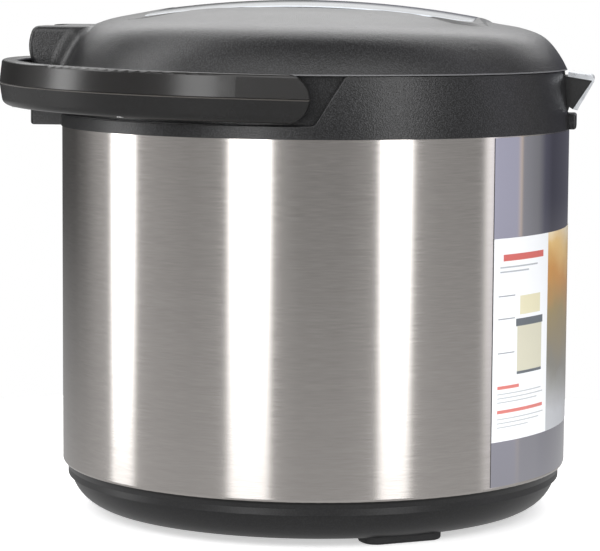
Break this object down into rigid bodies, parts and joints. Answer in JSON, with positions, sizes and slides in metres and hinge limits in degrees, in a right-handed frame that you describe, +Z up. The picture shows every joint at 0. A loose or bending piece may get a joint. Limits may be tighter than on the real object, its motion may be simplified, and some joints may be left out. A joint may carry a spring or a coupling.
{
  "type": "thermal_cooker",
  "caption": "Insulated steel thermal cooker with a hinged domed lid, front latch, fold-down carry handle and an inner pot with its own lid",
  "frame": {"origin": "on the cooker's axis, at the floor that its feet stand on", "axes": "+Z up along the cooker's axis; -Y to the front, where the latch and label are; +Y to the hinge and the lowered handle; X along the hinge pin"},
  "size_m": [0.3, 0.3283, 0.2811],
  "materials": {
    "brushed_shell": "brushed round the body",
    "inner_steel": "satin",
    "lid_plate_metal": "fine brushed",
    "chrome_trim": "polished",
    "fastener_steel": "plain",
    "dark_plastic": "fine grained",
    "dark_plastic_base": "smooth",
    "handle_plastic": "satin",
    "black_plastic": "matt",
    "seal_rubber": "matt",
    "insulation_foam": "hidden foam filling",
    "front_film": "thin glossy film on the steel",
    "printed_label": null
  },
  "bodies": {
    "cooker_body": {"base_cover": "dark_plastic_base", "base_screw_1": "fastener_steel", "base_screw_2": "fastener_steel", "base_screw_3": "fastener_steel", "collar": "dark_plastic", "foot_1": "seal_rubber", "foot_2": "seal_rubber", "foot_3": "seal_rubber", "front_film": "front_film", "front_label": "printed_label", "handle_pin_left": "fastener_steel", "handle_pin_right": "fastener_steel", "handle_washer_left": "black_plastic", "handle_washer_right": "black_plastic", "hinge_pin": "fastener_steel", "hinge_spring": "fastener_steel", "inner_liner": "inner_steel", "insulation_floor": "insulation_foam", "insulation_wall": "insulation_foam", "latch_pin": "fastener_steel", "latch_spring": "fastener_steel", "outer_shell": "brushed_shell"},
    "lid": {"lid_catch": "black_plastic", "lid_cover": "dark_plastic", "lid_gasket": "seal_rubber", "lid_inner_plate": "inner_steel", "lid_insulation": "insulation_foam", "lid_screw_1": "fastener_steel", "lid_screw_2": "fastener_steel", "lid_screw_3": "fastener_steel", "lid_screw_4": "fastener_steel", "lid_top_plate": "lid_plate_metal"},
    "carry_handle": {"handle_lower_shell": "handle_plastic", "handle_screw_1": "fastener_steel", "handle_screw_2": "fastener_steel", "handle_screw_3": "fastener_steel", "handle_screw_4": "fastener_steel", "handle_upper_shell": "handle_plastic"},
    "latch": {"latch_lever": "black_plastic", "latch_cap": "chrome_trim"},
    "inner_pot": {"bail_grip": "black_plastic", "pot_bail": "inner_steel", "pot_base_disc": "inner_steel", "pot_body": "inner_steel", "pot_ear_left": "inner_steel", "pot_ear_right": "inner_steel", "pot_rivet_left_1": "fastener_steel", "pot_rivet_left_2": "fastener_steel", "pot_rivet_right_1": "fastener_steel", "pot_rivet_right_2": "fastener_steel"},
    "inner_lid": {"inner_lid": "inner_steel", "inner_lid_knob": "black_plastic", "inner_lid_screw": "fastener_steel"}
  },
  "joints": [
    {"name": "lid_hinge", "type": "hinge", "parent": "cooker_body", "child": "lid", "pos_m": [0, 0.1435, 0.255], "axis": [-1, 0, 0], "range_deg": [0, 95]},
    {"name": "handle_pivot", "type": "hinge", "parent": "cooker_body", "child": "carry_handle", "pos_m": [0, 0, 0.2326], "axis": [1, 0, 0], "range_deg": [0, 120]},
    {"name": "latch_press", "type": "hinge", "parent": "cooker_body", "child": "latch", "pos_m": [0, -0.1365, 0.2242], "axis": [1, 0, 0], "range_deg": [0, 8], "stiffness_Nm_per_rad": 0.6},
    {"name": "pot_turn", "type": "hinge", "parent": "cooker_body", "child": "inner_pot", "pos_m": [0, 0, 0.1], "axis": [0, 0, 1], "continuous": true},
    {"name": "inner_lid_turn", "type": "hinge", "parent": "inner_pot", "child": "inner_lid", "pos_m": [0, 0, 0.217], "axis": [0, 0, 1], "continuous": true}
  ]
}
